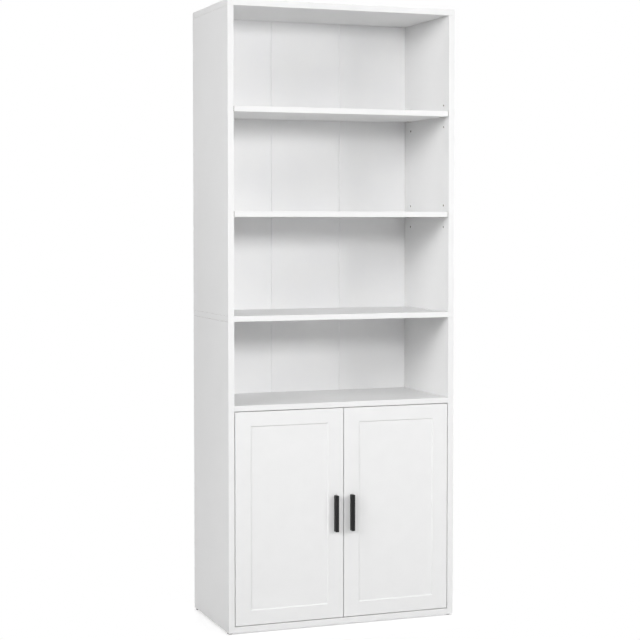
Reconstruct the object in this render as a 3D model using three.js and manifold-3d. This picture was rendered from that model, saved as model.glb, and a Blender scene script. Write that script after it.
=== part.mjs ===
// A tall bookcase: four open bays over a cabinet with two inset frame-and-panel doors.
// Millimetres, +Z up. The doors face -Y. The origin lies on the floor, under the middle of
// the overall box, handles included.
import * as THREE from 'three';
import { mergeVertices } from 'three/addons/utils/BufferGeometryUtils.js';
import Module from 'manifold-3d';

const wasm = await Module();
wasm.setup();

// Driving dimensions of the case
const caseWidth = 700;
const caseDepth = 350;
const caseHeight = 1800;
const sideThickness = 18;
const topThickness = 18;
const bottomThickness = 18;
const middleThickness = 16;
const shelfThickness = 16;
const openBayHeight = 239;
const doorHeight = 612;
const doorThickness = 16;
const doorGap = 2;
const upperBayCount = 3;

// Back boards: one sheet behind each half, held in grooves and scored into three boards
const backThickness = 5;
const backInset = 19;
const grooveDepth = 6;
const grooveSideClearance = 0.3;
const grooveEndClearance = 0.5;
const scoreWidth = 3;
const scoreDepth = 1.6;
const backBoardCount = 3;

// Loose shelves
const shelfSetback = 2;
const shelfBackClearance = 0.6;
const shelfEndClearance = 0.3;
const cabinetShelfSetback = 34;

// Shelf supports: a steel pin with an angle plate, in three-hole rows at each shelf's ends
const pinRadius = 2.5;
const pinLength = 9;
const pinHoleClearance = 0.25;
const pinHoleDepth = 11;
const holePitch = 32;
const frontHoleSetback = 37;
const rearHoleSetback = 46;
const supportPlate = 1.2;
const supportWidth = 12;
const supportReach = 11;
const supportRise = 9;
const pinOverUnderside = 2.5;

// Glides: a domed plastic pad on a nail, under each side's front and rear end
const glideHeight = 4;
const glideRadius = 8;
const glideTopRadius = 8.6;
const glideSetback = 18;
const glideNailRadius = 1.2;
const glideNailLength = 13;
const glideNailClearance = 0.3;

// Door face: a flat frame round a shallow recess with a bevelled step
const stileWidth = 46;
const railWidth = 41;
const recessDepth = 3;
const recessBevel = 3.5;

// Bar pulls, cast solid, with a finger flute along each long side
const pullLength = 106;
const pullWidth = 10;
const pullProjection = 16;
const pullCentreDistance = 96;
const pullSetback = 24;
const pullFluteDepth = 1.3;
const pullCorner = 1.2;

// Machine screws that hold the pulls from inside the door
const pullScrewRadius = 2;
const pullScrewHeadRadius = 4;
const pullScrewHeadHeight = 2.4;
const pullScrewBite = 8;
const pullScrewTip = 1;
const screwHoleClearance = 0.3;

// Concealed hinges: a cup let into the door, a pin across the cup, and a cranked arm
const cupRadius = 17.2;
const cupBoreClearance = 0.3;
const cupWall = 1;
const cupDepth = 12.2;
const cupEdgeDistance = 5;
const cupFlange = 1.2;
const cupFlangeRim = 2.2;
const cupEarLength = 62;
const cupEarWidth = 13;
const cupScrewSpacing = 48;
const hingeEndDistance = 100;
const hingePinRadius = 1.5;
const hingePinEndClearance = 0.3;
const knuckleRadius = 3.1;
const knuckleHoleClearance = 0.35;
const armWidth = 13;
const armThickness = 2.4;
const armSweepClearance = 1.5;
const armLeaveAngle = Math.PI / 4;
const armLandAngle = 148 * Math.PI / 180;
const plateThickness = 2;
const plateLength = 39;
const plateNeckWidth = 15;
const plateWingWidth = 12;
const plateWingLength = 46;
const plateScrewSpacing = 32;
const plateScrewSetback = 37;
const channelHeight = 8;
const channelStart = 9;
const channelLength = 27;
const channelWidth = 14;
const channelSlotWidth = 5;
const channelSlotDepth = 5;

// Countersunk and pan-head wood screws
const woodScrewRadius = 1.6;
const woodScrewHeadRadius = 3.6;
const woodScrewHeadHeight = 1.8;
const woodScrewLength = 12;
const woodScrewTip = 3;
const woodScrewHeadSink = 0.4;

// Magnetic catch under the shelf over the doors, and a strike plate on each door
const catchWidth = 46;
const catchDepth = 16;
const catchHeight = 12;
const catchDrop = 9.5;
const catchEarWidth = 9;
const catchEarHeight = 3;
const magnetWidth = 15;
const magnetHeight = 8;
const magnetDepth = 9;
const magnetProud = 0.6;
const magnetClearance = 0.3;
const strikeWidth = 18;
const strikeHeight = 28;
const strikeScrewRise = 6;
const strikeThickness = 1;
const strikeDrop = 2.5;
const strikeEdge = 4;
const strikeCorner = 2;
const strikeGap = 0.3;

// Round pieces get this many sides
const holeSides = 14;
const screwSides = 10;
const cupSides = 28;
const arcSteps = 12;
const cornerSteps = 4;

// One overrun serves every cut that runs past a face, and one gap every seat of turned pieces
const overrun = 1;
const seatGap = 0.3;

// Planes and levels worked out from the sizes above
const overallDepth = caseDepth + pullProjection;
const frontY = pullProjection - overallDepth / 2;
const rearY = overallDepth / 2;
const halfWidth = caseWidth / 2;
const innerHalfWidth = halfWidth - sideThickness;
const backFaceY = rearY - backInset - backThickness;
const backRearY = rearY - backInset;
const doorBackY = frontY + doorThickness;

const bottomUnderside = glideHeight;
const bottomTop = bottomUnderside + bottomThickness;
const doorBottom = bottomTop + doorGap;
const doorMiddle = doorBottom + doorHeight / 2;
const doorTop = doorBottom + doorHeight;
const coverShelfUnderside = doorTop + doorGap;
const coverShelfTop = coverShelfUnderside + shelfThickness;
const middleUnderside = coverShelfTop + openBayHeight;
const middleTop = middleUnderside + middleThickness;
const topUnderside = caseHeight - topThickness;
const upperShelfCount = upperBayCount - 1;
const upperBayHeight = (topUnderside - middleTop - upperShelfCount * shelfThickness) / upperBayCount;
const shelfUndersides = Array.from({ length: upperShelfCount },
  (unused, index) => middleTop + upperBayHeight + index * (upperBayHeight + shelfThickness));
const cabinetShelfUnderside = (bottomTop + coverShelfUnderside - shelfThickness) / 2;

const doorWidth = (innerHalfWidth * 2 - doorGap * 3) / 2;
const cupInset = cupEdgeDistance + cupRadius + cupBoreClearance;
const hingeX = innerHalfWidth - doorGap - cupInset;
const hingeY = frontY + doorThickness / 2;
const hingeRise = doorHeight / 2 - hingeEndDistance;

// Finishes, one per kind of piece
const finishes = {
  board: { color: 0xf1f1f0, roughness: 0.5, metalness: 0 },
  door: { color: 0xececeb, roughness: 0.42, metalness: 0 },
  back: { color: 0xededec, roughness: 0.6, metalness: 0 },
  pull: { color: 0x242424, roughness: 0.45, metalness: 0.4 },
  steel: { color: 0xb9bbbd, roughness: 0.35, metalness: 1 },
  plastic: { color: 0xf4f4f2, roughness: 0.5, metalness: 0 },
  magnet: { color: 0x3a3a3c, roughness: 0.5, metalness: 0.6 },
  glide: { color: 0x3b3b3b, roughness: 0.7, metalness: 0 },
};

// Solid helpers

function toManifold(geometry) {
  const bare = geometry.clone();
  bare.deleteAttribute('normal');
  bare.deleteAttribute('uv');
  const welded = mergeVertices(bare);
  return new wasm.Manifold(new wasm.Mesh({
    numProp: 3,
    vertProperties: new Float32Array(welded.attributes.position.array),
    triVerts: new Uint32Array(welded.index.array),
  }));
}

function toGeometry(solid) {
  const mesh = solid.getMesh();
  const geometry = new THREE.BufferGeometry();
  geometry.setAttribute('position', new THREE.BufferAttribute(new Float32Array(mesh.vertProperties), 3));
  geometry.setIndex(new THREE.BufferAttribute(new Uint32Array(mesh.triVerts), 1));
  geometry.computeVertexNormals();
  return geometry;
}

function join(geometries) {
  return toGeometry(geometries.map(toManifold).reduce((whole, piece) => whole.add(piece)));
}

function cut(geometry, tools) {
  return toGeometry(tools.map(toManifold).reduce((left, tool) => left.subtract(tool), toManifold(geometry)));
}

// A block between two limits on each axis
function block(x, y, z) {
  const geometry = new THREE.BoxGeometry(x[1] - x[0], y[1] - y[0], z[1] - z[0]);
  return geometry.translate((x[0] + x[1]) / 2, (y[0] + y[1]) / 2, (z[0] + z[1]) / 2);
}

function ordered(a, b) {
  return [Math.min(a, b), Math.max(a, b)];
}

// Round bars along each axis, from one place on it to another
function barAlongX(radius, x, y, z, sides = holeSides) {
  const geometry = new THREE.CylinderGeometry(radius, radius, x[1] - x[0], sides);
  return geometry.rotateZ(-Math.PI / 2).translate((x[0] + x[1]) / 2, y, z);
}

function barAlongY(radius, x, y, z, sides = holeSides) {
  const geometry = new THREE.CylinderGeometry(radius, radius, y[1] - y[0], sides);
  return geometry.translate(x, (y[0] + y[1]) / 2, z);
}

function barAlongZ(radius, x, y, z, sides = holeSides) {
  const geometry = new THREE.CylinderGeometry(radius, radius, z[1] - z[0], sides);
  return geometry.rotateX(Math.PI / 2).translate(x, y, (z[0] + z[1]) / 2);
}

// A turned piece: the profile gives radius and height, starts and ends on the axis, and
// the axis runs along +Z
function turned(profile, sides = screwSides) {
  const points = profile.map(([radius, height]) => new THREE.Vector2(radius, height));
  return new THREE.LatheGeometry(points, sides).rotateX(Math.PI / 2);
}

// A flat outline in a plane, given thickness upward from it
function plateOf(shape, thickness, curveSegments = arcSteps) {
  return new THREE.ExtrudeGeometry(shape, { depth: thickness, bevelEnabled: false, curveSegments });
}

function roundedRectangle(width, height, radius) {
  const shape = new THREE.Shape();
  const x = width / 2 - radius;
  const y = height / 2 - radius;
  shape.absarc(x, y, radius, 0, Math.PI / 2, false);
  shape.absarc(-x, y, radius, Math.PI / 2, Math.PI, false);
  shape.absarc(-x, -y, radius, Math.PI, Math.PI * 3 / 2, false);
  shape.absarc(x, -y, radius, Math.PI * 3 / 2, Math.PI * 2, false);
  return shape;
}

function part(parent, name, geometry, finish, position = [0, 0, 0]) {
  const mesh = new THREE.Mesh(geometry, new THREE.MeshStandardMaterial(finishes[finish]));
  mesh.name = name;
  mesh.position.set(...position);
  parent.add(mesh);
  return mesh;
}

const bookcase = new THREE.Group();

// Case panels

const supportHoleRadius = pinRadius + pinHoleClearance;
const woodScrewHole = woodScrewRadius + screwHoleClearance;
const rowPlaces = [frontY + frontHoleSetback, backFaceY - rearHoleSetback];

// Three holes at each row place, for a shelf whose underside is at the given level
function supportHoles(hand, underside) {
  const middleHole = underside + pinOverUnderside;
  const span = ordered(hand * (innerHalfWidth - overrun), hand * (innerHalfWidth + pinHoleDepth));
  return rowPlaces.flatMap((y) => [-holePitch, 0, holePitch].map(
    (rise) => barAlongX(supportHoleRadius, span, y, middleHole + rise, screwSides)));
}

function grooveBlock(x, z) {
  return block(x, [backFaceY - grooveSideClearance, backRearY + grooveSideClearance], z);
}

function glideNailHole(hand, y) {
  const radius = glideNailRadius + glideNailClearance;
  const reach = [bottomUnderside - overrun, bottomUnderside + glideNailLength + glideNailClearance];
  return barAlongZ(radius, hand * (halfWidth - sideThickness / 2), y, reach, screwSides);
}

const glidePlaces = [frontY + glideSetback, rearY - glideSetback];
const plateScrewLevels = [-1, 1].flatMap((end) => [-1, 1].map(
  (wing) => doorMiddle + end * hingeRise + wing * plateScrewSpacing / 2));

function plateScrewHole(hand, level) {
  const reach = ordered(hand * (innerHalfWidth - overrun), hand * (innerHalfWidth + woodScrewLength));
  return barAlongX(woodScrewHole, reach, frontY + plateScrewSetback, level, screwSides);
}

function sidePanel(hand, bottom, top, shelfLevels, extraCuts) {
  const x = ordered(hand * innerHalfWidth, hand * halfWidth);
  const grooveX = ordered(hand * (innerHalfWidth - overrun), hand * (innerHalfWidth + grooveDepth));
  const cuts = [
    grooveBlock(grooveX, [bottom - overrun, top + overrun]),
    ...shelfLevels.flatMap((level) => supportHoles(hand, level)),
    ...extraCuts,
  ];
  return cut(block(x, [frontY, rearY], [bottom, top]), cuts);
}

const sides = [['left', -1], ['right', 1]];
for (const [side, hand] of sides) {
  const nailHoles = glidePlaces.map((y) => glideNailHole(hand, y));
  const plateScrewHoles = plateScrewLevels.map((level) => plateScrewHole(hand, level));
  part(bookcase, `lower_side_${side}`, sidePanel(hand, bottomUnderside, middleUnderside,
    [cabinetShelfUnderside], [...nailHoles, ...plateScrewHoles]), 'board');
  part(bookcase, `upper_side_${side}`, sidePanel(hand, middleTop, topUnderside,
    shelfUndersides, []), 'board');
}

// Stopped grooves in the level panels take the back sheets' top and bottom edges
const stoppedGrooveX = [-(innerHalfWidth + grooveDepth), innerHalfWidth + grooveDepth];

part(bookcase, 'bottom_panel', cut(
  block([-innerHalfWidth, innerHalfWidth], [frontY, rearY], [bottomUnderside, bottomTop]),
  [grooveBlock([-(innerHalfWidth + overrun), innerHalfWidth + overrun],
    [bottomTop - grooveDepth, bottomTop + overrun])],
), 'board');

part(bookcase, 'middle_panel', cut(
  block([-halfWidth, halfWidth], [frontY, rearY], [middleUnderside, middleTop]),
  [grooveBlock(stoppedGrooveX, [middleUnderside - overrun, middleUnderside + grooveDepth]),
    grooveBlock(stoppedGrooveX, [middleTop - grooveDepth, middleTop + overrun])],
), 'board');

part(bookcase, 'top_panel', cut(
  block([-halfWidth, halfWidth], [frontY, rearY], [topUnderside, caseHeight]),
  [grooveBlock(stoppedGrooveX, [topUnderside - overrun, topUnderside + grooveDepth])],
), 'board');

const catchScrewX = catchWidth / 2 + catchEarWidth / 2;
const catchFrontY = doorBackY + seatGap + strikeThickness + strikeGap + magnetProud;
const catchScrewY = catchFrontY + catchDepth * 2 / 3;
part(bookcase, 'cabinet_top_shelf', cut(
  block([-innerHalfWidth, innerHalfWidth], [frontY, backFaceY - shelfBackClearance],
    [coverShelfUnderside, coverShelfTop]),
  [-1, 1].map((hand) => barAlongZ(woodScrewHole, hand * catchScrewX, catchScrewY,
    [coverShelfUnderside - overrun, coverShelfUnderside + woodScrewLength], screwSides)),
), 'board');

// Back sheets, seen in plan and raised along Z, with a V score at each board line
function backSheet(bottom, top) {
  const half = innerHalfWidth + grooveDepth - grooveEndClearance;
  const pitch = innerHalfWidth * 2 / backBoardCount;
  const shape = new THREE.Shape();
  shape.moveTo(-half, backRearY);
  shape.lineTo(-half, backFaceY);
  for (let line = 1; line < backBoardCount; line += 1) {
    const x = line * pitch - innerHalfWidth;
    shape.lineTo(x - scoreWidth / 2, backFaceY);
    shape.lineTo(x, backFaceY + scoreDepth);
    shape.lineTo(x + scoreWidth / 2, backFaceY);
  }
  shape.lineTo(half, backFaceY);
  shape.lineTo(half, backRearY);
  return plateOf(shape, top - bottom).translate(0, 0, bottom);
}

const grooveReach = grooveDepth - grooveEndClearance;
part(bookcase, 'back_panel_lower',
  backSheet(bottomTop - grooveReach, middleUnderside + grooveReach), 'back');
part(bookcase, 'back_panel_upper',
  backSheet(middleTop - grooveReach, topUnderside + grooveReach), 'back');

// Loose shelves on angle supports

const shelfHalfLength = innerHalfWidth - supportPlate - shelfEndClearance;

function looseShelf(underside, setback) {
  return block([-shelfHalfLength, shelfHalfLength],
    [frontY + setback, backFaceY - shelfBackClearance], [underside, underside + shelfThickness]);
}

function shelfSupport(hand, y, underside) {
  const wall = hand * innerHalfWidth;
  const width = [y - supportWidth / 2, y + supportWidth / 2];
  const pin = barAlongX(pinRadius, ordered(wall - hand * supportPlate / 2, wall + hand * pinLength), y,
    underside + pinOverUnderside, screwSides);
  const upright = block(ordered(wall, wall - hand * supportPlate), width,
    [underside - supportPlate, underside + supportRise]);
  const ledge = block(ordered(wall, wall - hand * supportReach), width,
    [underside - supportPlate, underside]);
  return join([upright, ledge, pin]);
}

const looseShelves = [
  ['cabinet', cabinetShelfUnderside, cabinetShelfSetback],
  ['open_lower', shelfUndersides[0], shelfSetback],
  ['open_upper', shelfUndersides[upperShelfCount - 1], shelfSetback],
];

for (const [place, underside, setback] of looseShelves) {
  part(bookcase, `shelf_${place}`, looseShelf(underside, setback), 'board');
  for (const [side, hand] of sides) {
    part(bookcase, `support_${place}_front_${side}`, shelfSupport(hand, rowPlaces[0], underside), 'steel');
    part(bookcase, `support_${place}_rear_${side}`, shelfSupport(hand, rowPlaces[1], underside), 'steel');
  }
}

// Glides

const glideProfile = [
  [0, 0],
  [glideRadius, 0],
  [glideTopRadius, glideHeight / 2],
  [glideTopRadius, glideHeight],
  [glideNailRadius, glideHeight],
  [glideNailRadius, glideHeight + glideNailLength - glideNailRadius],
  [0, glideHeight + glideNailLength],
];

for (const [side, hand] of sides) {
  for (const [end, y] of [['front', glidePlaces[0]], ['rear', glidePlaces[1]]]) {
    part(bookcase, `glide_${end}_${side}`, turned(glideProfile, holeSides), 'glide',
      [hand * (halfWidth - sideThickness / 2), y, 0]);
  }
}

// Screws stand head up along +Z, with the seat of the head at zero

function panScrew(radius, headRadius, headHeight, length, tip) {
  return turned([
    [0, -length],
    [radius, tip - length],
    [radius, 0],
    [headRadius, 0],
    [headRadius, headHeight / 2],
    [headRadius / 2, headHeight],
    [0, headHeight],
  ]);
}

// A wood screw bedded in a plate, so its head is sunk a little below the plate's face
function woodScrew() {
  return panScrew(woodScrewRadius, woodScrewHeadRadius, woodScrewHeadHeight, woodScrewLength, woodScrewTip)
    .translate(0, 0, -woodScrewHeadSink);
}

// Doors. Each is built round its hinge line as the left-hand door, with the free edge
// toward +X, and the right-hand one is the same group turned half a turn about Y.

const boreRadius = cupRadius + cupBoreClearance;
const hingeEdgeX = -cupInset;
const freeEdgeX = hingeEdgeX + doorWidth;
const slabY = [-doorThickness / 2, doorThickness / 2];
const hingeHeights = [['upper', hingeRise], ['lower', -hingeRise]];
const pullX = freeEdgeX - pullSetback;
const pullScrewHeights = [['upper', pullCentreDistance / 2], ['lower', -pullCentreDistance / 2]];

// A block whose +Y face is drawn in all round by the bevel
function recessTool() {
  const x = [hingeEdgeX + stileWidth, freeEdgeX - stileWidth];
  const z = [railWidth - doorHeight / 2, doorHeight / 2 - railWidth];
  const depth = recessDepth + overrun;
  const spread = recessBevel * overrun / recessDepth;
  const tool = block([x[0] - spread, x[1] + spread], [-depth / 2, depth / 2],
    [z[0] - spread, z[1] + spread]);
  const place = tool.attributes.position;
  const middleX = (x[0] + x[1]) / 2;
  const narrowX = (x[1] - x[0] - recessBevel * 2) / (x[1] - x[0] + spread * 2);
  const narrowZ = (z[1] - z[0] - recessBevel * 2) / (z[1] - z[0] + spread * 2);
  for (let index = 0; index < place.count; index += 1) {
    if (place.getY(index) > 0) {
      place.setX(index, middleX + (place.getX(index) - middleX) * narrowX);
      place.setZ(index, place.getZ(index) * narrowZ);
    }
  }
  return tool.translate(0, slabY[0] + recessDepth - depth / 2, 0);
}

// The strike plate hangs near the free edge, at the end of the door that is uppermost
const strikeX = freeEdgeX - strikeEdge - strikeWidth / 2;
const strikeZ = doorHeight / 2 - strikeDrop - strikeHeight / 2;
const strikeScrewZ = strikeZ - strikeHeight / 2 + strikeScrewRise;

function doorSlab(up) {
  const bores = hingeHeights.map(([, rise]) => barAlongY(boreRadius, 0,
    [slabY[1] - cupDepth - cupBoreClearance, slabY[1] + overrun], rise, cupSides));
  const pullHoles = pullScrewHeights.map(([, rise]) => barAlongY(pullScrewRadius + screwHoleClearance, pullX,
    [slabY[0] - overrun, slabY[1] + overrun], rise, screwSides));
  const pilotReach = [slabY[1] - woodScrewLength, slabY[1] + overrun];
  const cupPilots = hingeHeights.flatMap(([, rise]) => [-1, 1].map((end) => barAlongY(woodScrewHole, 0,
    pilotReach, rise + end * cupScrewSpacing / 2, screwSides)));
  const strikePilot = barAlongY(woodScrewHole, strikeX, pilotReach, up * strikeScrewZ, screwSides);
  return cut(block([hingeEdgeX, freeEdgeX], slabY, [-doorHeight / 2, doorHeight / 2]),
    [recessTool(), ...bores, ...pullHoles, ...cupPilots, strikePilot]);
}

// Cup, seen from inside the cabinet: a turned shell with a rim, an ear above and below,
// and its two screws
function hingeCup() {
  const rim = cupRadius + cupFlangeRim;
  const shell = turned([
    [0, -cupDepth],
    [cupRadius, -cupDepth],
    [cupRadius, seatGap],
    [rim, seatGap],
    [rim, seatGap + cupFlange],
    [0, seatGap + cupFlange],
  ], cupSides);
  const earOutline = roundedRectangle(cupEarWidth, cupEarLength, cupEarWidth / 2 - seatGap);
  const ears = plateOf(earOutline, cupFlange, cornerSteps).translate(0, 0, seatGap);
  const screws = [-1, 1].map((end) => woodScrew()
    .translate(0, end * cupScrewSpacing / 2, seatGap + cupFlange));
  const hollow = barAlongZ(cupRadius - cupWall, 0, 0, [cupWall - cupDepth, seatGap + cupFlange + overrun],
    cupSides);
  return cut(join([shell, ears, ...screws]), [hollow]).rotateX(-Math.PI / 2).translate(0, slabY[1], 0);
}

// Bar pull, drawn in plan and raised along Z: square nose, fluted sides, flat base
function barPull() {
  const half = pullWidth / 2;
  const nose = -pullProjection;
  const waist = half - pullFluteDepth;
  const shape = new THREE.Shape();
  shape.moveTo(-half + pullCorner, nose);
  shape.lineTo(half - pullCorner, nose);
  shape.quadraticCurveTo(half, nose, half, nose + pullCorner);
  shape.lineTo(half, nose * 3 / 4);
  shape.quadraticCurveTo(waist, nose * 5 / 8, waist, nose * 3 / 8);
  shape.quadraticCurveTo(waist, nose / 8, half, -seatGap);
  shape.lineTo(-half, -seatGap);
  shape.quadraticCurveTo(-waist, nose / 8, -waist, nose * 3 / 8);
  shape.quadraticCurveTo(-waist, nose * 5 / 8, -half, nose * 3 / 4);
  shape.lineTo(-half, nose + pullCorner);
  shape.quadraticCurveTo(-half, nose, -half + pullCorner, nose);
  const bar = plateOf(shape, pullLength, cornerSteps).translate(0, 0, -pullLength / 2);
  const sockets = pullScrewHeights.map(([, rise]) => barAlongY(pullScrewRadius + screwHoleClearance, 0,
    [-pullScrewBite - screwHoleClearance, overrun], rise, screwSides));
  return cut(bar, sockets).translate(pullX, slabY[0], 0);
}

function pullScrew() {
  return panScrew(pullScrewRadius, pullScrewHeadRadius, pullScrewHeadHeight, doorThickness + pullScrewBite,
    pullScrewTip).rotateX(-Math.PI / 2).translate(pullX, slabY[1] + seatGap, 0);
}

// Arm, with the hinge pin at its origin: a knuckle, a straight leg, a crank that passes
// round the door's swinging edge, and a wing plate with its two screws in the case side
const armWallX = hingeX - innerHalfWidth + seatGap;
const plateScrewY = frontY + plateScrewSetback - hingeY;

function hingeArm() {
  const doorSweep = Math.hypot(cupInset, doorThickness / 2);
  const innerRadius = doorSweep + armSweepClearance;
  const outerRadius = innerRadius + armThickness;
  const half = armWidth / 2;
  const legAngleAt = (radius) => Math.asin(armThickness / 2 / radius);
  const outline = new THREE.Shape();
  outline.absarc(0, 0, outerRadius, armLeaveAngle - legAngleAt(outerRadius), armLandAngle, false);
  outline.absarc(0, 0, innerRadius, armLandAngle, armLeaveAngle + legAngleAt(innerRadius), true);
  outline.absarc(0, 0, knuckleRadius, armLeaveAngle + legAngleAt(knuckleRadius),
    armLeaveAngle - legAngleAt(knuckleRadius) + Math.PI * 2, false);
  const eye = new THREE.Path();
  eye.absarc(0, 0, hingePinRadius + knuckleHoleClearance, 0, Math.PI * 2, false);
  outline.holes.push(eye);
  const crank = plateOf(outline, armWidth).translate(0, 0, -half);
  const plateStart = innerRadius * Math.sin(armLandAngle) - armThickness / 4;
  const plateX = [armWallX, armWallX + plateThickness];
  const neck = block(plateX, [plateStart, plateStart + plateLength],
    [-plateNeckWidth / 2, plateNeckWidth / 2]);
  const wings = plateOf(roundedRectangle(plateWingLength, plateWingWidth, plateWingWidth / 2 - seatGap),
    plateThickness, cornerSteps).rotateY(Math.PI / 2).translate(armWallX, plateScrewY, 0);
  const channelY = [plateStart + channelStart, plateStart + channelStart + channelLength];
  const channelTop = plateX[1] + channelHeight;
  const channel = block([armWallX, channelTop], channelY, [-channelWidth / 2, channelWidth / 2]);
  const slot = block([channelTop - channelSlotDepth, channelTop + overrun],
    [channelY[0] + channelWidth / 2, channelY[1] - channelWidth / 2],
    [-channelSlotWidth / 2, channelSlotWidth / 2]);
  const screws = [-1, 1].map((end) => woodScrew().rotateY(Math.PI / 2)
    .translate(plateX[1], plateScrewY, end * plateScrewSpacing / 2));
  return cut(join([crank, neck, wings, channel, ...screws]), [slot]);
}

function hingePin() {
  const half = cupRadius - cupWall - hingePinEndClearance;
  return barAlongZ(hingePinRadius, 0, 0, [-half, half], screwSides);
}

function strikePlate(up) {
  const outline = roundedRectangle(strikeWidth, strikeHeight, strikeCorner);
  const plate = plateOf(outline, strikeThickness, cornerSteps);
  const screw = woodScrew().translate(0, up * (strikeZ - strikeScrewZ), strikeThickness);
  return join([plate, screw]).rotateX(-Math.PI / 2).translate(strikeX, slabY[1] + seatGap, up * strikeZ);
}

for (const [side, hand] of sides) {
  const station = new THREE.Group();
  station.position.set(hand * hingeX, hingeY, doorMiddle);
  station.rotation.y = hand > 0 ? Math.PI : 0;
  bookcase.add(station);
  const levelName = (level) => (hand > 0 ? { upper: 'lower', lower: 'upper' }[level] : level);
  part(station, `door_${side}`, doorSlab(-hand), 'door');
  part(station, `pull_${side}`, barPull(), 'pull');
  part(station, `strike_${side}`, strikePlate(-hand), 'steel');
  for (const [level, rise] of pullScrewHeights) {
    part(station, `pull_screw_${side}_${levelName(level)}`, pullScrew(), 'steel', [0, 0, rise]);
  }
  for (const [level, rise] of hingeHeights) {
    part(station, `hinge_cup_${side}_${levelName(level)}`, hingeCup(), 'steel', [0, 0, rise]);
    part(station, `hinge_pin_${side}_${levelName(level)}`, hingePin(), 'steel', [0, 0, rise]);
    part(station, `hinge_arm_${side}_${levelName(level)}`, hingeArm(), 'steel', [0, 0, rise]);
  }
}

// Magnetic catch: a moulded body screwed under the shelf over the doors, with a magnet in
// a pocket for each door

const magnetX = doorGap / 2 + strikeEdge + strikeWidth / 2;
const catchZ = doorTop - catchDrop;

function catchBody() {
  const top = coverShelfUnderside;
  const bottom = catchZ - catchHeight / 2;
  const body = block([-catchWidth / 2, catchWidth / 2], [catchFrontY, catchFrontY + catchDepth],
    [bottom, top]);
  const earX = catchWidth / 2 + catchEarWidth;
  const ears = block([-earX, earX], [catchFrontY + catchDepth / 3, catchFrontY + catchDepth],
    [top - catchEarHeight, top]);
  const pockets = [-1, 1].map((hand) => block(
    [hand * magnetX - magnetWidth / 2 - magnetClearance, hand * magnetX + magnetWidth / 2 + magnetClearance],
    [catchFrontY - overrun, catchFrontY + magnetDepth - magnetProud + magnetClearance],
    [catchZ - magnetHeight / 2 - magnetClearance, catchZ + magnetHeight / 2 + magnetClearance]));
  const screws = [-1, 1].map((hand) => woodScrew().rotateX(Math.PI).translate(
    hand * catchScrewX, catchScrewY, top - catchEarHeight));
  return cut(join([body, ears, ...screws]), pockets);
}

part(bookcase, 'catch_body', catchBody(), 'plastic');
for (const [side, hand] of sides) {
  part(bookcase, `catch_magnet_${side}`, block([-magnetWidth / 2, magnetWidth / 2], [-magnetProud,
    magnetDepth - magnetProud], [-magnetHeight / 2, magnetHeight / 2]), 'magnet',
  [hand * magnetX, catchFrontY, catchZ]);
}

bookcase.updateMatrixWorld(true);

export default bookcase;
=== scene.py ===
"""A tall white bookcase with cabinet doors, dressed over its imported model.

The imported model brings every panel, door, hinge and pull at its real size, in metres, with
+Z up and the doors facing -Y. This script gives each of them its finish, softens the edges,
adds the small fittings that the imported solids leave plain, and sets up the floor, the
lamps and the camera.
"""

import logging
import math
from abc import ABC, abstractmethod
from dataclasses import dataclass, replace
from enum import Enum
from typing import Any, Iterable, Optional, Sequence

import bmesh
import bpy
from mathutils import Matrix, Vector


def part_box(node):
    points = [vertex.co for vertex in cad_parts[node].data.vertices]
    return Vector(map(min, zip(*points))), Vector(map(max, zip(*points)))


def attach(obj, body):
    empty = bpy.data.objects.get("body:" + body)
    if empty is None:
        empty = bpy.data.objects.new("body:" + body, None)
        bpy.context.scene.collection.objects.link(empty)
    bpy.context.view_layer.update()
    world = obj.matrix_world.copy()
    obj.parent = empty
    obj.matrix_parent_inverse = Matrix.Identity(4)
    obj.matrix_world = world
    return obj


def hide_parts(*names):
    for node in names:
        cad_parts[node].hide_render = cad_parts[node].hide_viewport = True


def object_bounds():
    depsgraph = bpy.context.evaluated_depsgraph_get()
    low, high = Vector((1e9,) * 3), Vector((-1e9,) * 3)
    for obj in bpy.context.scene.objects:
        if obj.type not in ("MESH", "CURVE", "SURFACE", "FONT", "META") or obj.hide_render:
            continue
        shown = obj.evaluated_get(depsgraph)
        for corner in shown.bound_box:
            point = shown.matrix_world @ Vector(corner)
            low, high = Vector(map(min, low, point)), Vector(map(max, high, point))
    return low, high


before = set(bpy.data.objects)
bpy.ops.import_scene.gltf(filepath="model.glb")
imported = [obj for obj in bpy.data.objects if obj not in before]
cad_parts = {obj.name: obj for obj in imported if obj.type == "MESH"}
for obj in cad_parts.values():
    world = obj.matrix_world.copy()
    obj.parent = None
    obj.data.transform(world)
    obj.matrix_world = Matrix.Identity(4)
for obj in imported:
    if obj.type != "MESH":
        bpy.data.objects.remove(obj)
CAD_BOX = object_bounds()

LOG = logging.getLogger("bookcase")

MM = 0.001

# The least angle between faces that stays sharp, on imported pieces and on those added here
CREASE = math.radians(32)
ADDED_CREASE = math.radians(35)

# The bevel profile that makes a quarter circle
ROUND_PROFILE = 0.5

# How close the corners of loose triangles lie that belong together
STITCH = 0.001 * MM

# The full lean of a rounded edge's shading towards the large faces beside it
FACE_WEIGHT = 100

# Where a Mix node has its two colours, and the mixed one among its outputs
COLOUR_A, COLOUR_B, MIXED = 6, 7, 2

WHITE = "FFFFFF"

# Where most values of a noise texture lie
NOISE_LOW, NOISE_MIDDLE, NOISE_HIGH = 0.3, 0.5, 0.7

Form = bmesh.types.BMesh
NodeTree = bpy.types.NodeTree
NodeSocket = bpy.types.NodeSocket
Outputs = bpy.types.NodeOutputs
Object = bpy.types.Object


class Body(str, Enum):
    """The bodies that pieces ride on."""

    CASE = "case"
    LEFT_DOOR = "left_door"
    RIGHT_DOOR = "right_door"


class Slot(str, Enum):
    """The record's finishes that the added pieces belong to."""

    STEEL = "hardware_steel"
    MAGNET = "magnet"


class Lay(Enum):
    """Which way a panel's thickness runs, as the place of that axis in a vector."""

    UPRIGHT = 0
    LEVEL = 2


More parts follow.
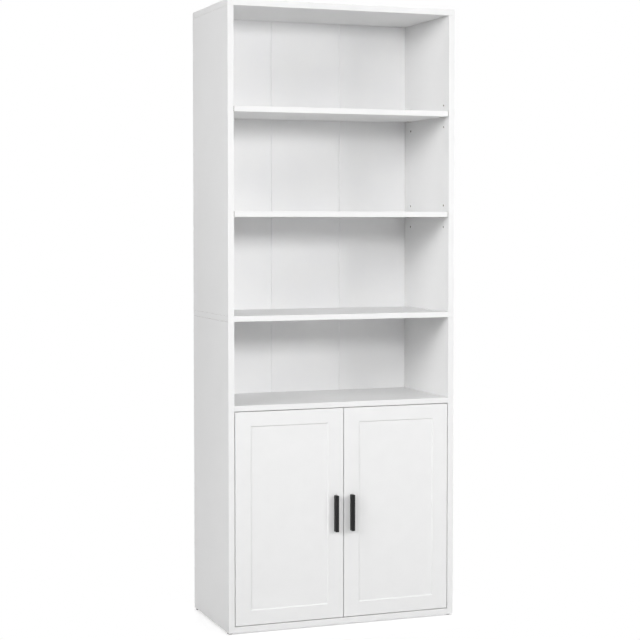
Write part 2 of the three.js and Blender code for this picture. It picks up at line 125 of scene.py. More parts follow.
class Opposite(Enum):
    """Two opposite places; the value is the sign that its axis has there."""

    @property
    def word(self) -> str:
        """The place's word in the names of pieces."""
        return self.name.lower()


class Side(Opposite):
    """The two sides of the bookcase, seen from the front."""

    LEFT = -1
    RIGHT = 1

    @property
    def door_body(self) -> Body:
        """The body of the door on this side."""
        return Body.LEFT_DOOR if self is Side.LEFT else Body.RIGHT_DOOR


class Level(Opposite):
    """The lower and the upper one of two fittings."""

    LOWER = -1
    UPPER = 1


def linear(code: str) -> tuple[float, float, float, float]:
    """Turns an sRGB hex code into linear light.

    Args:
        code: Six hex digits, as in "F5F5F4".

    Returns:
        Linear red, green and blue, with an alpha of one.
    """
    def channel(start: int) -> float:
        """Gives one channel in linear light."""
        value = int(code[start:start + 2], 16) / 255
        return value / 12.92 if value <= 0.04045 else ((value + 0.055) / 1.055) ** 2.4

    return channel(0), channel(2), channel(4), 1.0


def per_metre(size: float) -> float:
    """Gives the pattern scale at which one feature measures the given size in metres."""
    return 1 / size


def add_node(tree: NodeTree, kind: str, settings: Optional[dict[str, Any]] = None,
             inputs: Optional[dict[Any, Any]] = None) -> Outputs:
    """Adds a node with its settings and its links.

    Args:
        tree: The node tree that takes the node.
        kind: The node's type, where the word ShaderNode may be left off.
        settings: The node's own properties, by name. A colour ramp's stops are given as pairs
            of place and hex colour.
        inputs: For each input, by name or place, a value or the output that feeds it.

    Returns:
        The new node's outputs.
    """
    node = tree.nodes.new(kind if "Node" in kind else "ShaderNode" + kind)
    for name, value in (settings or {}).items():
        if name == "stops":
            elements = node.color_ramp.elements
            while len(elements) < len(value):
                elements.new(1.0)
            for element, (place, code) in zip(elements, value):
                element.position = place
                element.color = linear(code)
        else:
            setattr(node, name, value)
    for key, value in (inputs or {}).items():
        socket = node.inputs[key]
        if isinstance(value, NodeSocket):
            tree.links.new(value, socket)
        else:
            socket.default_value = value
    return node.outputs


@dataclass(frozen=True)
class Finish(ABC):
    """A finish that pieces can wear. Its material is made once and then shared."""

    name: str = "finish"

    def material(self) -> bpy.types.Material:
        """Gives the finish's material, which the first call makes.

        Returns:
            The material.
        """
        found = bpy.data.materials.get(self.name)
        if found is not None:
            return found
        material = bpy.data.materials.new(self.name)
        material.use_nodes = True
        tree = material.node_tree
        tree.nodes.clear()
        add_node(tree, "OutputMaterial", inputs={"Surface": self.surface(tree)})
        return material

    @abstractmethod
    def surface(self, tree: NodeTree) -> NodeSocket:
        """Builds the finish in a node tree.

        Args:
            tree: The material's empty node tree.

        Returns:
            The shader output to show.
        """


@dataclass(frozen=True)
class MelamineBoard(Finish):
    """Particleboard faced with white melamine paper, its front edge taped to match.

    The pressed paper gives a satin white with a faint pebble that breaks up reflections.
    The tape is a shade greyer, and shows a hairline where it meets the face. The sawn rear
    edges show the raw core of tan flakes. In the drilled holes that core is painted darker,
    as painted shade for the deep, narrow holes. The real pebble is under half a millimetre,
    too fine to show, so it is drawn coarser.

    Attributes:
        lay: Which way the board's thickness runs.
        front: Y of its taped front edge.
        rear: Y of its sawn rear edge.
        half_length: X of its taped ends, or more than it measures where the ends are raw.
        edge_lean: How much of a normal along the thickness makes a face, rather than an edge.
        face: Colour of the paper.
        face_faint: Its colour where the tone dips.
        cloud: Size of the slow change between those two.
        pebble: Size of the press plate's pebble.
        relief: Height of the pebble and of the core's flakes.
        relief_strength: How strongly that height shows.
        sheen: Least and greatest roughness of the paper.
        tape: Thickness of the tape.
        tape_tint: What the tape takes off the paper's white.
        tape_line: Colour of the hairline where tape and face meet.
        line_width: Width of that hairline.
        flake: Size of the core's flakes.
        sawn: Colours of the sawn core, from dark to pale.
        sawn_places: The flake pattern's values that take those colours.
        bored: The core's colours in a drilled hole, the raw core painted darker as painted shade.
        raw_roughness: Roughness of the core.
    """

    name: str = "melamine_board"
    lay: Lay = Lay.LEVEL
    front: float = 0.0
    rear: float = 0.0
    half_length: float = 1.0
    edge_lean: float = 0.5
    face: str = "EAEAEA"
    face_faint: str = "E8E8E8"
    cloud: float = 160 * MM
    pebble: float = 1.6 * MM
    relief: float = 0.05 * MM
    relief_strength: float = 0.12
    sheen: tuple[float, float] = (0.40, 0.48)
    tape: float = 0.6 * MM
    tape_tint: str = "FAFAFA"
    tape_line: str = "D2D1CD"
    line_width: float = 0.25 * MM
    flake: float = 2.4 * MM
    sawn: tuple[str, str, str] = ("8E6B45", "B58F62", "D9BD93")
    sawn_places: tuple[float, float, float] = (0.0, 0.35, 0.8)
    # Colours of the drilled holes' core, darkened as painted shade for the holes' depth
    bored: tuple[str, str] = ("4A3B2C", "6E5A44")
    raw_roughness: float = 0.85

    def surface(self, tree: NodeTree) -> NodeSocket:
        """Builds the board's shader.

        Args:
            tree: The material's empty node tree.

        Returns:
            The shader output to show.
        """
        place = add_node(tree, "TexCoord")
        at = add_node(tree, "SeparateXYZ", inputs={0: place["Object"]})
        raw = self.raw_mask(tree, place, at)
        flakes = add_node(tree, "TexVoronoi", inputs={
            "Vector": place["Object"], "Scale": per_metre(self.flake)})["Distance"]
        pebble = add_node(tree, "TexNoise", inputs={
            "Vector": place["Object"], "Scale": per_metre(self.pebble), "Detail": 2.0})[0]
        colour = add_node(tree, "Mix", {"data_type": "RGBA"}, {
            "Factor": raw, COLOUR_A: self.paper(tree, place, at),
            COLOUR_B: self.core(tree, flakes, at)})[MIXED]
        height = add_node(tree, "Mix", {"data_type": "FLOAT"}, {"Factor": raw, "A": pebble, "B": flakes})[0]
        bump = add_node(tree, "Bump", inputs={
            "Strength": self.relief_strength, "Distance": self.relief, "Height": height})[0]
        sheen = add_node(tree, "MapRange", inputs={
            "Value": pebble, "From Min": NOISE_LOW, "From Max": NOISE_HIGH,
            "To Min": self.sheen[0], "To Max": self.sheen[1]})[0]
        rough = add_node(tree, "Mix", {"data_type": "FLOAT"},
                         {"Factor": raw, "A": sheen, "B": self.raw_roughness})[0]
        return add_node(tree, "BsdfPrincipled", inputs={
            "Base Color": colour, "Roughness": rough, "Normal": bump})[0]

    def raw_mask(self, tree: NodeTree, place: Outputs, at: Outputs) -> NodeSocket:
        """Builds the mask of the edges that have neither paper nor tape.

        Args:
            tree: The material's node tree.
            place: The outputs of its texture coordinates.
            at: The place in the part's frame, as X, Y and Z.

        Returns:
            One on sawn edges and in drilled holes, and zero elsewhere.
        """
        normal = add_node(tree, "SeparateXYZ", inputs={0: place["Normal"]})
        lean = add_node(tree, "Math", {"operation": "ABSOLUTE"}, {0: normal[self.lay.value]})[0]
        edge = add_node(tree, "Math", {"operation": "LESS_THAN"}, {0: lean, 1: self.edge_lean})[0]
        behind = add_node(tree, "Math", {"operation": "GREATER_THAN"},
                          {0: at[1], 1: self.front + self.tape})[0]
        reach = add_node(tree, "Math", {"operation": "ABSOLUTE"}, {0: at[0]})[0]
        inside = add_node(tree, "Math", {"operation": "LESS_THAN"},
                          {0: reach, 1: self.half_length - self.tape})[0]
        untaped = add_node(tree, "Math", {"operation": "MULTIPLY"}, {0: behind, 1: inside})[0]
        return add_node(tree, "Math", {"operation": "MULTIPLY"}, {0: edge, 1: untaped})[0]

    def paper(self, tree: NodeTree, place: Outputs, at: Outputs) -> NodeSocket:
        """Builds the colour of the faces and of the taped front edge.

        Args:
            tree: The material's node tree.
            place: The outputs of its texture coordinates.
            at: The place in the part's frame, as X, Y and Z.

        Returns:
            The colour.
        """
        cloud = add_node(tree, "TexNoise", inputs={
            "Vector": place["Object"], "Scale": per_metre(self.cloud), "Detail": 3.0})[0]
        white = add_node(tree, "ValToRGB", {
            "stops": [(NOISE_LOW, self.face_faint), (NOISE_HIGH, self.face)]}, {0: cloud})[0]
        joint = self.front + self.tape
        taped = add_node(tree, "Math", {"operation": "LESS_THAN"}, {0: at[1], 1: joint})[0]
        tinted = add_node(tree, "Mix", {"data_type": "RGBA", "blend_type": "MULTIPLY"},
                          {"Factor": taped, COLOUR_A: white, COLOUR_B: linear(self.tape_tint)})[MIXED]
        line = add_node(tree, "Math", {"operation": "COMPARE"},
                        {0: at[1], 1: joint, 2: self.line_width / 2})[0]
        return add_node(tree, "Mix", {"data_type": "RGBA"},
                        {"Factor": line, COLOUR_A: tinted, COLOUR_B: linear(self.tape_line)})[MIXED]

    def core(self, tree: NodeTree, flakes: NodeSocket, at: Outputs) -> NodeSocket:
        """Builds the colour of the particleboard's core.

        Args:
            tree: The material's node tree.
            flakes: The pattern of the core's flakes.
            at: The place in the part's frame, as X, Y and Z.

        Returns:
            The colour: sawn at the rear edge, and elsewhere the drilled holes' core with painted shade.
        """
        sawn = add_node(tree, "ValToRGB", {"stops": [*zip(self.sawn_places, self.sawn)]}, {0: flakes})[0]
        ends = self.sawn_places[0], self.sawn_places[-1]
        # In the drilled holes the core is painted darker: painted shade for the deep, narrow holes
        bored = add_node(tree, "ValToRGB", {"stops": [*zip(ends, self.bored)]}, {0: flakes})[0]
        rearmost = add_node(tree, "Math", {"operation": "GREATER_THAN"},
                            {0: at[1], 1: self.rear - self.tape})[0]
        return add_node(tree, "Mix", {"data_type": "RGBA"},
                        {"Factor": rearmost, COLOUR_A: bored, COLOUR_B: sawn})[MIXED]


@dataclass(frozen=True)
class WrappedFibreboard(Finish):
    """Fibreboard, milled and wrapped in white film under heat and vacuum.

    The film gives a soft satin, a touch smoother and greyer than the melamine, with the
    slow waves of the glue below, and it ends in a hairline at the arris of the rear face.
    The film's own grain is too fine to show, so it is drawn coarser.

    Attributes:
        rear: Y of the door's rear face.
        face: Colour of the film.
        face_faint: Its colour where the tone dips.
        seam: Colour of the hairline where the film ends.
        seam_width: Width of that hairline.
        wave: Length of the glue's waves.
        wave_relief: Height of the waves.
        wave_strength: How strongly that height shows.
        grain: Size of the film's grain.
        grain_relief: Height of the grain.
        grain_strength: How strongly that height shows.
        sheen: Least and greatest roughness.
    """

    name: str = "wrapped_fibreboard"
    rear: float = 0.0
    face: str = "E6E6E6"
    face_faint: str = "E4E4E4"
    seam: str = "C9C2B4"
    seam_width: float = 0.3 * MM
    wave: float = 55 * MM
    wave_relief: float = 0.4 * MM
    wave_strength: float = 0.10
    grain: float = 2.2 * MM
    grain_relief: float = 0.05 * MM
    grain_strength: float = 0.06
    sheen: tuple[float, float] = (0.36, 0.42)

    def surface(self, tree: NodeTree) -> NodeSocket:
        """Builds the wrapped door's shader.

        Args:
            tree: The material's empty node tree.

        Returns:
            The shader output to show.
        """
        place = add_node(tree, "TexCoord")["Object"]
        wave = add_node(tree, "TexNoise", inputs={
            "Vector": place, "Scale": per_metre(self.wave), "Detail": 2.0})[0]
        grain = add_node(tree, "TexNoise", inputs={
            "Vector": place, "Scale": per_metre(self.grain), "Detail": 3.0})[0]
        white = add_node(tree, "ValToRGB", {
            "stops": [(NOISE_LOW, self.face_faint), (NOISE_HIGH, self.face)]}, {0: wave})[0]
        depth = add_node(tree, "SeparateXYZ", inputs={0: place})[1]
        seam = add_node(tree, "Math", {"operation": "COMPARE"},
                        {0: depth, 1: self.rear - self.seam_width, 2: self.seam_width / 2})[0]
        colour = add_node(tree, "Mix", {"data_type": "RGBA"},
                          {"Factor": seam, COLOUR_A: white, COLOUR_B: linear(self.seam)})[MIXED]
        slow = add_node(tree, "Bump", inputs={
            "Strength": self.wave_strength, "Distance": self.wave_relief, "Height": wave})[0]
        fine = add_node(tree, "Bump", inputs={
            "Strength": self.grain_strength, "Distance": self.grain_relief, "Height": grain,
            "Normal": slow})[0]
        rough = add_node(tree, "MapRange", inputs={
            "Value": grain, "From Min": NOISE_LOW, "From Max": NOISE_HIGH,
            "To Min": self.sheen[0], "To Max": self.sheen[1]})[0]
        return add_node(tree, "BsdfPrincipled", inputs={
            "Base Color": colour, "Roughness": rough, "Normal": fine})[0]


@dataclass(frozen=True)
class FoiledSheet(Finish):
    """Thin dry-process fibreboard, foiled white on its face and left raw behind.

    The face is a flat, slightly cool white; the rear is the even tan felt of pressed
    fibres, with darker specks of bark.

    Attributes:
        rear: Y of the sheet's raw face.
        skin: How far in from that face its look reaches.
        face: Colour of the foil.
        face_faint: Its colour where the tone dips.
        fibre: Colours of the raw fibres, from dark to pale.
        cloud: Size of the slow change of tone.
        cloud_share: The share of that change in the raw face's colour.
        felt: Size of the pressed fibres' felt.
        felt_relief: Height of the felt.
        felt_strength: How strongly that height shows.
        face_roughness: Roughness of the foil.
        raw_roughness: Roughness of the raw face.
    """

    name: str = "foiled_sheet"
    rear: float = 0.0
    skin: float = 0.5 * MM
    face: str = "F5F5F5"
    face_faint: str = "F3F3F4"
    fibre: tuple[str, str, str] = ("9A7850", "B4926A", "C6A780")
    cloud: float = 90 * MM
    cloud_share: float = 0.35
    felt: float = 1.5 * MM
    felt_relief: float = 0.06 * MM
    felt_strength: float = 0.10
    face_roughness: float = 0.5
    raw_roughness: float = 0.82

    def surface(self, tree: NodeTree) -> NodeSocket:
        """Builds the sheet's shader.

        Args:
            tree: The material's empty node tree.

        Returns:
            The shader output to show.
        """
        place = add_node(tree, "TexCoord")["Object"]
        depth = add_node(tree, "SeparateXYZ", inputs={0: place})[1]
        raw = add_node(tree, "Math", {"operation": "GREATER_THAN"}, {0: depth, 1: self.rear - self.skin})[0]
        cloud = add_node(tree, "TexNoise", inputs={
            "Vector": place, "Scale": per_metre(self.cloud), "Detail": 3.0})[0]
        felt = add_node(tree, "TexNoise", inputs={
            "Vector": place, "Scale": per_metre(self.felt), "Detail": 5.0, "Roughness": 0.7})[0]
        white = add_node(tree, "ValToRGB", {
            "stops": [(NOISE_LOW, self.face_faint), (NOISE_HIGH, self.face)]}, {0: cloud})[0]
        blend = add_node(tree, "Mix", {"data_type": "FLOAT"},
                         {"Factor": self.cloud_share, "A": felt, "B": cloud})[0]
        tan = add_node(tree, "ValToRGB", {
            "stops": [*zip((NOISE_LOW, NOISE_MIDDLE, NOISE_HIGH), self.fibre)]}, {0: blend})[0]
        colour = add_node(tree, "Mix", {"data_type": "RGBA"},
                          {"Factor": raw, COLOUR_A: white, COLOUR_B: tan})[MIXED]
        bump = add_node(tree, "Bump", inputs={
            "Strength": self.felt_strength, "Distance": self.felt_relief, "Height": felt})[0]
        rough = add_node(tree, "Mix", {"data_type": "FLOAT"},
                         {"Factor": raw, "A": self.face_roughness, "B": self.raw_roughness})[0]
        return add_node(tree, "BsdfPrincipled", inputs={
            "Base Color": colour, "Roughness": rough, "Normal": bump})[0]


@dataclass(frozen=True, kw_only=True)
class GrainyFinish(Finish):
    """A finish whose one fine pattern varies its colour, relief and gloss together.

    Attributes:
        colours: Its colours where the pattern is low and where it is high.
        stops: The pattern's values that take those two colours.
        grain: Size of the pattern.
        detail: How many finer layers the pattern has.
        fineness: How much of each layer's strength the next finer one has.
        relief: Height of the pattern.
        relief_strength: How strongly that height shows.
        sheen: Least and greatest roughness.
        metallic: One where the eye meets metal, and zero where it meets anything else.
        ior: Index of refraction, which metals leave at Blender's own 1.5.
    """

    colours: tuple[str, str]
    stops: tuple[float, float]
    grain: float
    detail: float
    fineness: float = 0.5
    relief: float
    relief_strength: float
    sheen: tuple[float, float]
    metallic: float = 0.0
    ior: float = 1.5

    def surface(self, tree: NodeTree) -> NodeSocket:
        """Builds the finish's shader.

        Args:
            tree: The material's empty node tree.

        Returns:
            The shader output to show.
        """
        place = add_node(tree, "TexCoord")["Object"]
        grain = add_node(tree, "TexNoise", inputs={
            "Vector": place, "Scale": per_metre(self.grain), "Detail": self.detail,
            "Roughness": self.fineness})[0]
        colour = add_node(tree, "ValToRGB", {"stops": [*zip(self.stops, self.colours)]}, {0: grain})[0]
        bump = add_node(tree, "Bump", inputs={
            "Strength": self.relief_strength, "Distance": self.relief, "Height": grain})[0]
        rough = add_node(tree, "MapRange", inputs={
            "Value": grain, "From Min": NOISE_LOW, "From Max": NOISE_HIGH,
            "To Min": self.sheen[0], "To Max": self.sheen[1]})[0]
        return add_node(tree, "BsdfPrincipled", inputs={
            "Base Color": colour, "Metallic": self.metallic, "Roughness": rough, "IOR": self.ior,
            "Normal": bump})[0]


@dataclass(frozen=True, kw_only=True)
class PowderCoat(GrainyFinish):
    """Die-cast zinc under a matt black powder coat.

    The baked powder is a dielectric skin: near black, with a fine orange peel that spreads
    each highlight into a soft grey bloom along the arrises.
    """

    name: str = "powder_coat"
    colours: tuple[str, str] = ("0B0B0C", "121213")
    stops: tuple[float, float] = (0.35, 0.65)
    grain: float = 0.9 * MM
    detail: float = 3.0
    relief: float = 0.06 * MM
    relief_strength: float = 0.35
    sheen: tuple[float, float] = (0.42, 0.50)
    ior: float = 1.33


@dataclass(frozen=True, kw_only=True)
class PlatedMetal(GrainyFinish):
    """Pressed steel with barrel-plated nickel, or another metal that was tumbled.

    Nickel gives a slightly warm silver with soft reflections, because the surface keeps the
    fine scuffs of the press and the tumbling. The real scuffs are narrower than a
    millimetre, and are drawn coarser to show.
    """

    name: str = "nickel_plated_steel"
    colours: tuple[str, str] = ("B4B1AB", "C8C4BC")
    stops: tuple[float, float] = (0.3, 0.6)
    grain: float = 3.5 * MM
    detail: float = 6.0
    fineness: float = 0.65
    relief: float = 0.03 * MM
    relief_strength: float = 0.08
    sheen: tuple[float, float] = (0.24, 0.38)
    metallic: float = 1.0


@dataclass(frozen=True, kw_only=True)
class MouldedPlastic(GrainyFinish):
    """Injection-moulded polypropylene with the fine spark texture of its tool.

    It gives the eye an even colour with a dull, broad sheen. The real texture measures
    hundredths of a millimetre, and is drawn coarser to show.
    """

    name: str = "moulded_polypropylene"
    colours: tuple[str, str] = ("ECECE8", "F0F0EC")
    stops: tuple[float, float] = (0.35, 0.65)
    grain: float = 0.5 * MM
    detail: float = 2.0
    relief: float = 0.03 * MM
    relief_strength: float = 0.2
    sheen: tuple[float, float] = (0.41, 0.49)
    ior: float = 1.49


NICKEL = PlatedMetal()
# The cams' bare castings are bluer and duller than nickel
ZINC = PlatedMetal(name="zinc_die_casting", colours=("9EA0A3", "BDBFC1"), grain=1.8 * MM,
                   sheen=(0.36, 0.50))
CATCH_PLASTIC = MouldedPlastic(name="white_catch_plastic")
GLIDE_PLASTIC = MouldedPlastic(name="dark_glide_plastic", colours=("434240", "4B4A48"),
                               sheen=(0.51, 0.59))
# Ferrite is pressed and fired, which leaves it as even and dull as a moulding
FERRITE = MouldedPlastic(name="sintered_ferrite", colours=("2E2E31", "3A3A3D"), grain=0.8 * MM,
                         sheen=(0.56, 0.64))


def wear(piece: Object, finish: Finish) -> None:
    """Puts a finish on a piece, in place of any it has.

    Args:
        piece: The piece to dress.
        finish: The finish it takes.
    """
    slots = piece.data.materials
    slots.clear()
    slots.append(finish.material())
    LOG.info("dressed %s in %s", piece.name, finish.name)


def modifier_tree(name: str) -> tuple[NodeTree, NodeSocket]:
    """Starts a geometry tree for a modifier.

    Args:
        name: The tree's name.

    Returns:
        The tree, and the mesh that it gets.
    """
    tree = bpy.data.node_groups.new(name, "GeometryNodeTree")
    for way in ("INPUT", "OUTPUT"):
        tree.interface.new_socket("Geometry", in_out=way, socket_type="NodeSocketGeometry")
    return tree, add_node(tree, "NodeGroupInput")[0]


def sewing_tree() -> NodeTree:
    """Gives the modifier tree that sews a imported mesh's loose triangles into one skin.

    Returns:
        The tree, shared by every piece. It also drops the flat normals that came with the mesh.
    """
    name = "sew_triangles"
    if name in bpy.data.node_groups:
        return bpy.data.node_groups[name]
    tree, skin = modifier_tree(name)
    skin = add_node(tree, "GeometryNodeMergeByDistance", inputs={"Geometry": skin, "Distance": STITCH})[0]
    for attribute in ("custom_normal", "sharp_edge", "sharp_face"):
        skin = add_node(tree, "GeometryNodeRemoveAttribute", inputs={"Geometry": skin, "Name": attribute})[0]
    add_node(tree, "NodeGroupOutput", inputs={0: skin})
    return tree


def smoothing_tree(limit: float) -> NodeTree:
    """Gives the modifier tree that shades round faces smooth and leaves arrises sharp.

    Args:
        limit: The least angle between faces that stays sharp, in radians.

    Returns:
        The tree, shared by every piece with that limit.
    """
    name = f"smooth_below_{math.degrees(limit):.0f}"
    if name in bpy.data.node_groups:
        return bpy.data.node_groups[name]
    tree, mesh = modifier_tree(name)
    angle = add_node(tree, "GeometryNodeInputMeshEdgeAngle")["Unsigned Angle"]
    sharp = add_node(tree, "FunctionNodeCompare", {"operation": "GREATER_THAN"}, {0: angle, 1: limit})[0]
    smooth = add_node(tree, "GeometryNodeSetShadeSmooth", inputs={"Geometry": mesh})[0]
    shaded = add_node(tree, "GeometryNodeSetShadeSmooth", {"domain": "EDGE"}, {
        "Geometry": smooth, "Selection": sharp, "Shade Smooth": False})[0]
    add_node(tree, "NodeGroupOutput", inputs={0: shaded})
    return tree


def soften(piece: Object, radius: float, segments: int = 2, rounded: float = CREASE) -> None:
    """Rounds a piece's arrises and shades its round faces smooth.

    Args:
        piece: The piece, whose own mesh stays as it is.
        radius: The arris radius in metres.
        segments: Steps round each arris.
        rounded: The least angle between faces that is rounded, in radians. Those between
            the crease angle and this one stay crisp.
    """
    piece.modifiers.new("sew", "NODES").node_group = sewing_tree()
    bevel = piece.modifiers.new("arris", "BEVEL")
    bevel.width = radius
    bevel.segments = segments
    bevel.limit_method = "ANGLE"
    bevel.angle_limit = rounded
    bevel.use_clamp_overlap = False
    piece.modifiers.new("smooth", "NODES").node_group = smoothing_tree(CREASE)
    normals = piece.modifiers.new("normals", "WEIGHTED_NORMAL")
    normals.weight = FACE_WEIGHT
    normals.keep_sharp = True


def link(name: str, form: Form, finish: Finish, body: Body, slot: Slot) -> Object:
    """Turns a built form into a piece that wears a finish and rides on a body.

    Args:
        name: The piece's name.
        form: Its shape in the part's frame, which is freed here.
        finish: The finish it wears.
        body: The body it rides on.
        slot: The record's finish that it belongs to. Not used.

    Returns:
        The new piece.
    """
    bmesh.ops.recalc_face_normals(form, faces=form.faces)
    mesh = bpy.data.meshes.new(name)
    form.to_mesh(mesh)
    form.free()
    piece = bpy.data.objects.new(name, mesh)
    bpy.context.scene.collection.objects.link(piece)
    piece.modifiers.new("smooth", "NODES").node_group = smoothing_tree(ADDED_CREASE)
    wear(piece, finish)
    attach(piece, body.value)
    return piece


@dataclass(frozen=True)
class CrossHead:
    """A screw's turned head with a cross recess, and its shank where the piece has one.

    The head's seat lies at zero and its crown points along +Z.

    Attributes:
        radius: Radius of the head.
        height: Height of the crown over the seat.
        crown_share: The flat crown's radius, as a share of the head's.
        wall_share: Height of the head's upright wall, as a share of its height.
        reach: How far the recess's arms reach from the axis.
        arm: Width of each arm.
        depth: Depth of the recess.
        shank: The shank's radius and length, where there is one.
        floor_share: The recess's size at its floor, as a share of that at the crown.
        sides: How many sides stand for the head's round.
        dome_steps: How many steps the dome has from wall to crown.
        seat_sink: How far a head without a shank goes down past its seat.
    """

    radius: float
    height: float
    crown_share: float
    wall_share: float
    reach: float
    arm: float
    depth: float
    shank: Optional[tuple[float, float]] = None
    floor_share: float = 0.62
    sides: int = 40
    dome_steps: int = 5
    seat_sink: float = 0.1 * MM

    def profile(self) -> list[tuple[float, float]]:
        """Lists the head's outline from its lowest ring to its crown.

        Returns:
            Radius and height of each ring.
        """
        rings = []
        if self.shank is None:
            rings.append((self.radius, -self.seat_sink))
        else:
            # The shank tapers to half its radius at its end
            radius, length = self.shank
            rings += [(radius / 2, -length), (radius, radius - length), (radius, 0.0), (self.radius, 0.0)]
        crown = self.radius * self.crown_share
        wall = self.height * self.wall_share
        for step in range(self.dome_steps + 1):
            turn = math.pi / 2 * step / self.dome_steps
            rings.append((crown + (self.radius - crown) * math.cos(turn),
                          wall + (self.height - wall) * math.sin(turn)))
        return rings

    def cross(self, share: float) -> list[tuple[float, float]]:
        """Lists the recess's outline.

        Args:
            share: The outline's size, as a share of that at the crown.

        Returns:
            The twelve corners in turn.
        """
        half, reach = self.arm / 2 * share, self.reach * share
        quarter = [(reach, -half), (reach, half), (half, half)]
        corners = []
        for _ in range(4):
            corners += quarter
            quarter = [(-y, x) for x, y in quarter]
        return corners

    def shape(self) -> Form:
        """Builds the head.

        Returns:
            The closed form, standing on its seat at the origin.
        """
        form = bmesh.new()
        rings = []
        for radius, rise in self.profile():
            turns = [math.tau * side / self.sides for side in range(self.sides)]
            rings.append([form.verts.new((radius * math.cos(t), radius * math.sin(t), rise)) for t in turns])
        lip = [form.verts.new((x, y, self.height)) for x, y in self.cross(1.0)]
        foot = [form.verts.new((x, y, self.height - self.depth)) for x, y in self.cross(self.floor_share)]
        for lower, upper in [*zip(rings, rings[1:]), (foot, lip)]:
            for place, vertex in enumerate(lower):
                following = (place + 1) % len(lower)
                form.faces.new((vertex, lower[following], upper[following], upper[place]))
        form.faces.new(rings[0])
        form.faces.new(foot)
        border = [form.edges.get((loop[place - 1], loop[place]))
                  for loop in (rings[-1], lip) for place in range(len(loop))]
        bmesh.ops.triangle_fill(form, edges=border, use_beauty=True)
        return form

    def put(self, name: str, place: Vector, out: Sequence[float], turn: float, body: Body,
            finish: Finish = NICKEL) -> Object:
        """Sets a head on its seat.

        Args:
            name: The piece's name.
            place: The seat's centre.
            out: The way that the crown points.
            turn: How far the recess is turned, in degrees, as the driver left it.
            body: The body it rides on.
            finish: The finish it wears.

        Returns:
            The new piece.
        """
        form = self.shape()
        lean = Vector(out).to_track_quat("Z", "Y").to_matrix().to_4x4()
        spin = Matrix.Rotation(math.radians(turn), 4, "Z")
        bmesh.ops.transform(form, matrix=Matrix.Translation(place) @ lean @ spin, verts=form.verts)
        return link(name, form, finish, body, Slot.STEEL)


def slab(name: str, low: Vector, high: Vector, radius: float, finish: Finish, body: Body,
         slot: Slot) -> Object:
    """Builds a plate with rounded arrises.

    Args:
        name: The piece's name.
        low: Its lowest corner.
        high: Its highest corner.
        radius: Radius at its arrises.
        finish: The finish it wears.
        body: The body it rides on.
        slot: The record's finish that it belongs to.

    Returns:
        The new piece.
    """
    form = bmesh.new()
    bmesh.ops.create_cube(form, size=1.0)
    bmesh.ops.scale(form, vec=high - low, verts=form.verts)
    bmesh.ops.translate(form, vec=(low + high) / 2, verts=form.verts)
    bmesh.ops.bevel(form, geom=form.edges, offset=radius, segments=3, profile=ROUND_PROFILE,
                    affect="EDGES")
    return link(name, form, finish, body, slot)


def node(name: str) -> Object:
    """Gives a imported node's object by its name."""
    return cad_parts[name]


def middle(name: str) -> Vector:
    """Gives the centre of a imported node's box."""
    low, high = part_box(name)
    return (low + high) / 2


@dataclass
class Case:
    """The fixed carcass: sides, top, middle, bottom and shelves, and both back sheets.

    Attributes:
        arris: Radius at the edges of the taped panels.
        sheet_arris: Radius at the edges of the thin back sheets.
    """

    arris: float = 0.6 * MM
    sheet_arris: float = 0.15 * MM

    def panels(self) -> Iterable[tuple[str, MelamineBoard]]:
        """Pairs each panel with its board finish.

        Returns:
            Names of panels, each with the finish for its lay, its edges and its length.
        """
        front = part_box("bottom_panel")[0].y
        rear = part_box("bottom_panel")[1].y
        half_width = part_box("middle_panel")[1].x
        upright = MelamineBoard(name="melamine_board_upright", lay=Lay.UPRIGHT, front=front, rear=rear)
        level = MelamineBoard(name="melamine_board_level", front=front, rear=rear, half_length=half_width)
        for part in ("lower_side", "upper_side"):
            for side in Side:
                yield f"{part}_{side.word}", upright
        for name in ("bottom_panel", "middle_panel", "top_panel", "cabinet_top_shelf"):
            yield name, level
        for name in ("shelf_cabinet", "shelf_open_lower", "shelf_open_upper"):
            low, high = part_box(name)
            yield name, MelamineBoard(name=f"melamine_{name}", front=low.y, rear=high.y)

    def dress(self) -> None:
        """Puts the board finish on the panels and the foil on the back sheets."""
        for name, finish in self.panels():
            wear(node(name), finish)
            soften(node(name), self.arris)
        for name in ("back_panel_lower", "back_panel_upper"):
            wear(node(name), FoiledSheet(rear=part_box(name)[1].y))
            soften(node(name), self.sheet_arris, segments=1)


WOOD_SCREW = CrossHead(radius=3.7 * MM, height=2.3 * MM, crown_share=0.62, wall_share=0.3,
                       reach=1.9 * MM, arm=0.85 * MM, depth=0.85 * MM)


